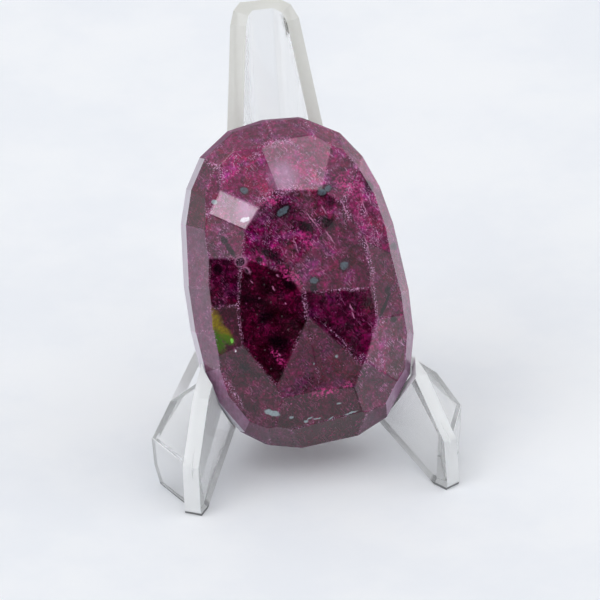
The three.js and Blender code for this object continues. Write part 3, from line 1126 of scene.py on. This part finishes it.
@dataclass
class Ruby:
    """The stone: its own solid, with worn edges and the looks of its facets.

    Attributes:
        node: the solid it stands for.
        centre: the middle of the stone's widest level, in millimetres.
        lean: how far it leans back, in degrees.
        roll: how far it is turned in its own plane, in degrees.
        edge_width: how wide the worn edges are, in millimetres.
        shortest: the shortest side of a facet that is kept, in millimetres.
        flatness: the angle up to which triangles lie in one facet, in degrees.
        narrow: the area up to which a face is a worn edge and no facet, in square millimetres.
        insets: how far in from its edges each facet is divided, in millimetres.
        frost_and_painted_light: for some ways that its side faces, in degrees from the right, how much
            of the pale ground colour it takes there; set by the way it faces, this also paints light
            and shade: darker where it faces up and left, lighter where it faces down and left.
        side_glow: how much of the rim's glow is left in the side.
        levels: how far up a normal points, at least, on the face, on the rim and on the side.
        finish: its material.
    """

    node: str = "ruby"
    centre: tuple[float, float, float] = (0.0, -4.15, 29.2)
    lean: float = 27.0
    roll: float = 5.1
    edge_width: float = 0.16
    shortest: float = 0.4
    flatness: float = 0.3
    narrow: float = 1.5
    insets: tuple[float, ...] = (0.25, 0.5)
    # painted light and shade on the side, by the way it faces
    frost_and_painted_light: tuple[Pair, ...] = (
        (122, 0), (152, 0.74), (178, 0.66), (186, 0.86), (211, 1), (232, 0),
    )
    side_glow: float = 0.7
    levels: tuple[float, float, float] = (0.85, 0.25, -0.25)
    finish: RubyFinish = field(default_factory=RubyFinish)

    def axes(self) -> np.ndarray:
        """Gives the stone's own axes as rows: to the side, up along its length, out of its face."""
        lift, spin = math.radians(90 - self.lean), math.radians(self.roll)
        side = np.array([1.0, 0.0, 0.0])
        along = np.array([0.0, math.cos(lift), math.sin(lift)])
        out = np.cross(side, along)
        turned = math.cos(spin) * side + math.sin(spin) * along
        return np.array([turned, np.cross(out, turned), out])

    def own(self, points: np.ndarray) -> np.ndarray:
        """Gives points of the row's frame, in metres, as millimetres in the stone's own frame."""
        return (points / MM - np.array(self.centre)) @ self.axes().T

    def look(self, place: np.ndarray, normal: np.ndarray) -> dict[str, float]:
        """Chooses how a facet looks.

        Args:
            place: the facet's middle in the stone's own frame.
            normal: the way it faces, in the same frame.

        Returns:
            A number for each of the LOOKS.
        """
        face_level, rim_level, side_level = self.levels
        plain = dict.fromkeys(LOOKS, 0.0) | {"depth": 0.45}
        angle = math.degrees(math.atan2(normal[1], normal[0]))
        if normal[2] > face_level:
            known = min(FACETS.values(), key=lambda facet: math.dist(facet.place, place[:2]))
            shown = {"glow": known.glow, "needles": known.needles, "depth": known.depth}
            worn = {"milk_and_sheen": known.milk_and_sheen, "ground": known.matte}
            return plain | shown | worn | {"inner": 1.0}
        if normal[2] < side_level:
            return plain | {"glow": 0.06, "milk_and_sheen": 0.1, "needles": 0.3}
        angles = [rim.angle for rim in RIM]
        glow = float(np.interp(angle, angles, [rim.glow for rim in RIM], period=360))
        milk_and_sheen = float(np.interp(angle, angles, [rim.milk_and_sheen for rim in RIM], period=360))
        if normal[2] > rim_level:
            return plain | {"glow": glow, "milk_and_sheen": milk_and_sheen, "needles": 0.4}
        frost_and_light = float(np.interp(angle % 360, *zip(*self.frost_and_painted_light)))
        return plain | {"glow": glow * self.side_glow, "milk_and_sheen": 0.2, "frost_and_light": frost_and_light, "ground": 1.0}

    def planes(self) -> list[np.ndarray]:
        """Gives the solid's flat facets, each as the corners of its outline in order."""
        shape = whole_faces(self.node, self.flatness)
        outlines = [np.array([vertex.co for vertex in face.verts], float) for face in shape.faces]
        shape.free()
        return outlines

    def shrunk(self, outline: np.ndarray, inset: float) -> np.ndarray:
        """Moves each side of a flat convex outline inwards.

        Each side cuts away what lies within the inset of it, so a side that is too short goes.

        Args:
            outline: the corners in order.
            inset: how far, in metres.

        Returns:
            The new corners, none of them closer together than the shortest edge allowed.
        """
        middle = outline.mean(axis=0)
        steps = np.roll(outline, -1, axis=0) - outline
        facing = np.cross(outline - middle, np.roll(outline, -1, axis=0) - middle).sum(axis=0)
        facing /= np.linalg.norm(facing)
        corners = outline
        for start, step in zip(outline, steps):
            inward = np.cross(facing, step / np.linalg.norm(step))
            depth = (corners - start) @ inward - inset
            kept = []
            for i, corner in enumerate(corners):
                j = (i + 1) % len(corners)
                if depth[i] >= 0:
                    kept.append(corner)
                if (depth[i] >= 0) != (depth[j] >= 0):
                    kept.append(corner + (corners[j] - corner) * depth[i] / (depth[i] - depth[j]))
            corners = np.array(kept)
            if len(corners) < 3:
                return np.empty((0, 3))
        tidy = [corners[0]]
        for corner in corners[1:]:
            if np.linalg.norm(corner - tidy[-1]) > self.shortest * MM:
                tidy.append(corner)
        if len(tidy) > 3 and np.linalg.norm(tidy[0] - tidy[-1]) <= self.shortest * MM:
            tidy.pop()
        return np.array(tidy)

    def wrap(self) -> bmesh.types.BMesh:
        """Shrinks each facet a little and wraps one skin round them, which leaves narrow worn edges."""
        shape = bmesh.new()
        looks = []
        for outline in self.planes():
            normal = np.cross(outline[1] - outline[0], outline[2] - outline[1])
            normal /= np.linalg.norm(normal)
            middle = self.own(outline.mean(axis=0))
            looks.append((normal, normal @ outline[0], self.look(middle, self.axes() @ normal)))
            for corner in self.shrunk(outline, self.edge_width / 2 * MM):
                shape.verts.new(corner)
        hull = bmesh.ops.convex_hull(shape, input=shape.verts)
        spare = {item for item in hull["geom_interior"] if isinstance(item, bmesh.types.BMVert)}
        bmesh.ops.delete(shape, geom=list(spare), context="VERTS")
        hull_flatness = math.radians(0.1)
        bmesh.ops.dissolve_limit(
            shape, angle_limit=hull_flatness, verts=shape.verts, edges=shape.edges
        )
        bmesh.ops.recalc_face_normals(shape, faces=shape.faces)
        layers = {name: shape.faces.layers.float.new(name) for name in LOOKS}
        for face in shape.faces:
            normal = np.array(face.normal)
            middle = np.array(face.calc_center_median())
            nearest = max(
                looks, key=lambda known: normal @ known[0] - abs(known[0] @ middle - known[1]) / MM
            )
            for name, layer in layers.items():
                face[layer] = nearest[2][name]
        return shape

    def divide(self, shape: bmesh.types.BMesh) -> None:
        """Divides each facet near its edges, so that it knows how far they are.

        A facet is divided only where it is wide and its shortest side is long enough for the inset.

        Args:
            shape: the skin round the facets.
        """
        least_width, least_side = 2.2, 1.3
        near = shape.verts.layers.float.new("edge")
        facets = [face for face in shape.faces if face.calc_area() > self.narrow * MM**2]
        LOG.info("the stone has %d facets", len(facets))
        done = 0.0
        for inset in self.insets:
            step = (inset - done) * MM
            wide = [
                face
                for face in facets
                if face.calc_area() * 2 / face.calc_perimeter() > least_width * step
                and min(edge.calc_length() for edge in face.edges) > least_side * step
            ]
            bmesh.ops.inset_individual(shape, faces=wide, thickness=step, use_even_offset=True)
            for face in wide:
                for vertex in face.verts:
                    vertex[near] = inset
            done = inset

    def build(self) -> bpy.types.Object:
        """Builds and dresses the stone.

        Returns:
            The new object, which stands for the node.
        """
        shape = self.wrap()
        self.divide(shape)
        mesh = bpy.data.meshes.new("ruby_stone")
        shape.to_mesh(mesh)
        shape.free()
        places = np.empty(len(mesh.vertices) * 3, np.float32)
        mesh.vertices.foreach_get("co", places)
        own = self.own(places.reshape(-1, 3).astype(float))
        corners = np.empty(len(mesh.loops), np.int32)
        mesh.loops.foreach_get("vertex_index", corners)
        chart = mesh.uv_layers.new(name="face")
        chart.data.foreach_set("uv", (own[corners, :2] / FACE_SPAN + 0.5).astype(np.float32).ravel())
        mesh.materials.append(self.finish.build())
        stone = add_object("ruby_stone", mesh)
        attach(stone, "root")
        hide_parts(self.node)
        return stone


@dataclass
class Easel:
    """The clear easel: its own solid with rounded edges.

    Attributes:
        node: the solid it stands for.
        edge_radius: the radius of its moulded edges, in millimetres.
        widest_edge: a face narrower than this is an edge of a sheet, in millimetres.
        thin_edge: the width from which it is an edge of the thick sheet, in millimetres.
        thin_share: how satin the edges of the thin plates are beside those of the thick sheet.
        flatness: the angle up to which triangles lie in one face, in degrees.
        facing_down: how far down the normal of a sole points, at least.
        edge_segments: how many steps round a moulded edge.
        edge_angle: the angle from which an edge is rounded, in degrees.
        finish: its material.
    """

    node: str = "easel"
    edge_radius: float = 0.3
    widest_edge: float = 2.9
    thin_edge: float = 1.75
    thin_share: float = 0.92
    flatness: float = 1.0
    facing_down: float = 0.9
    edge_segments: int = 3
    edge_angle: float = 12.0
    finish: ClearPlastic = field(default_factory=ClearPlastic)

    def build(self) -> bpy.types.Object:
        """Builds and dresses the easel.

        Returns:
            The new object, which stands for the node.
        """
        shape = whole_faces(self.node, self.flatness)
        narrow = shape.faces.layers.float.new("narrow")
        sole = shape.faces.layers.float.new("sole")
        for face in shape.faces:
            face.smooth = True
            width = 2 * face.calc_area() / face.calc_perimeter() / MM
            height = face.calc_center_median().z / MM
            if width < self.widest_edge:
                face[narrow] = 1.0 if width > self.thin_edge else self.thin_share
            face[sole] = float(face.normal.z < -self.facing_down and height < self.edge_radius)
        mesh = bpy.data.meshes.new("clear_easel")
        shape.to_mesh(mesh)
        shape.free()
        mesh.materials.append(self.finish.build())
        easel = add_object("clear_easel", mesh)
        rounded = easel.modifiers.new("rounded_edges", "BEVEL")
        rounded.width = self.edge_radius * MM
        rounded.segments = self.edge_segments
        rounded.limit_method = "ANGLE"
        rounded.angle_limit = math.radians(self.edge_angle)
        rounded.harden_normals = True
        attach(easel, "root")
        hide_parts(self.node)
        return easel


@dataclass(frozen=True)
class Panel:
    """A soft panel of the studio, bright or dark, far enough away to lie in one direction.

    Attributes:
        azimuth: where its middle is, in degrees from the front towards the right.
        elevation: how high its middle is, in degrees.
        width: how wide it is, in degrees.
        height: how high it is, in degrees.
        light: how bright it is, where the floor is about 1.
        turn: how far it is turned about its middle, in degrees.
        softness: how soft its border is, in degrees.
    """

    azimuth: float
    elevation: float
    width: float
    height: float
    light: float
    turn: float = 0.0
    softness: float = 2.0

    def share(self, graph: Graph, sight: Value) -> Value:
        """Gives the mask of the directions that meet the panel.

        Args:
            graph: the world's graph.
            sight: the direction.

        Returns:
            The mask.
        """
        middle = direction(self.azimuth, self.elevation)
        side = middle.cross(UP).normalized() * -1
        rise = side.cross(middle).normalized() * -1
        if rise.z < 0:
            rise = -rise
        spin = math.radians(self.turn)
        across = math.cos(spin) * side + math.sin(spin) * rise
        upward = math.cos(spin) * rise - math.sin(spin) * side
        nothing = 0.001
        ahead = graph.most(graph.dot(sight, middle), nothing)
        share: Value | None = None
        for axis, size in ((across, self.width), (upward, self.height)):
            reach = graph.math("ABSOLUTE", graph.dot(sight, axis) / ahead)
            outer = math.tan(math.radians(size + self.softness) / 2)
            inner = math.tan(math.radians(size - self.softness) / 2)
            inside = graph.step(reach, outer, inner)
            share = inside if share is None else share * inside
        return share


@dataclass
class Studio:
    """The floor, the soft light and the camera.

    Attributes:
        aim: the point in the middle of the picture, in metres.
        view: the camera's azimuth and elevation, in degrees.
        span: the width of the picture at the object, in metres.
        room: how bright the room is above the horizon.
        horizon: how bright it is along the horizon.
        horizon_height: how high that brighter band is, in degrees.
        horizon_softness: over how many degrees it ends.
        air: the colour of the light.
        panels: the soft panels.
        floor_drop: how far the floor lies below the soles, so that they don't coincide, in millimetres.
        floor_half: half the floor's width, in metres.
        distance: how far the camera is from the aim, in metres.
        clip: the nearest and the farthest that it sees, in metres.
        bounces: how often light may bounce, enough to leave the clear sheets.
    """

    aim: tuple[float, float, float] = (-0.00014, -0.0072, 0.0277)
    view: Pair = (-12.0, 30.0)
    span: float = 0.0968
    room: float = 0.72
    horizon: float = 0.85
    horizon_height: float = 6.0
    horizon_softness: float = 1.2
    air: Colour = (0.97, 0.985, 1.0)
    panels: tuple[Panel, ...] = (
        Panel(-75, 50, 44, 40, 2.2, 0, 12),
        Panel(100, 45, 40, 40, 1.6, 0, 12),
        Panel(31, 60, 20, 14, 1.7, 0, 4),
        Panel(-21, 50, 8, 7, 3.6, 0, 1.5),
        Panel(-16, 58.5, 12, 7, 0.5, 0, 1.5),
        Panel(49, 48, 12, 12, 0.5, 0, 2),
        Panel(-47, 54, 14, 12, 0.6, 0, 2),
        Panel(-4, 7, 56, 12, 0.42, 0, 3),
        Panel(-3, 22, 47, 20.1, 0.0, 0, 1.0),
        Panel(5, 33, 26, 8, 0.0, 0, 1.5),
        Panel(24.1, 24.6, 20, 12, 0.42, -66, 1.5),
        Panel(45, 2, 14, 8, 1.0, 0, 3),
        Panel(65, 24, 16, 12, 0.18, 0, 3),
        Panel(-24, 9, 12, 8, 0.2, 0, 1.5),
    )
    floor_drop: float = 0.05
    floor_half: float = 1.5
    distance: float = 0.4
    clip: Pair = (0.001, 10.0)
    bounces: int = 32

    def world(self) -> None:
        """Makes the light that surrounds the object."""
        world = bpy.data.worlds.new("studio")
        bpy.context.scene.world = world
        world.use_nodes = True
        graph = Graph(world.node_tree)
        sight = graph.out(graph.node("ShaderNodeTexCoord"), "Generated")
        rise = graph.dot(sight, UP)
        low = math.sin(math.radians(self.horizon_height - self.horizon_softness / 2))
        high = math.sin(math.radians(self.horizon_height + self.horizon_softness / 2))
        light = graph.between(graph.step(rise, high, low), self.room, self.horizon)
        for panel in self.panels:
            share = panel.share(graph, sight)
            light = light + share * (panel.light - light)
        background = graph.node("ShaderNodeBackground", None, {"Color": self.air, "Strength": light})
        graph.node("ShaderNodeOutputWorld", None, {"Surface": graph.out(background)})

    def floor(self) -> None:
        """Makes the plain pale floor."""
        half, level = self.floor_half, -self.floor_drop * MM
        mesh = bpy.data.meshes.new("floor")
        outline = ((-half, -half), (half, -half), (half, half), (-half, half))
        corners = [(x, y, level) for x, y in outline]
        mesh.from_pydata(corners, [], [(0, 1, 2, 3)])
        mesh.materials.append(PalePaper().build())
        floor = add_object("floor", mesh)

    def camera(self) -> None:
        """Makes the camera at the photograph's viewing angle."""
        data = bpy.data.cameras.new("camera")
        data.type = "ORTHO"
        data.ortho_scale = self.span
        data.clip_start, data.clip_end = self.clip
        camera = add_object("camera", data)
        back = direction(*self.view)
        camera.location = Vector(self.aim) + back * self.distance
        camera.rotation_mode = "QUATERNION"
        camera.rotation_quaternion = (-back).to_track_quat("-Z", "Y")
        bpy.context.scene.camera = camera

    def build(self) -> None:
        """Makes the floor, the light and the camera."""
        self.floor()
        self.world()
        self.camera()
        scene = bpy.context.scene
        scene.view_settings.view_transform = "Standard"
        scene.cycles.max_bounces = self.bounces
        scene.cycles.transmission_bounces = self.bounces
        scene.cycles.glossy_bounces = self.bounces


def main() -> None:
    """Builds the scene."""
    logging.basicConfig(level=logging.INFO, format="%(name)s: %(message)s")
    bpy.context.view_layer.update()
    for maker in (Ruby(), Easel()):
        made = maker.build()
        LOG.info("%s: %d faces", made.name, len(made.data.polygons))
    Studio().build()
    bpy.context.view_layer.update()


if __name__ == "__main__":
    main()
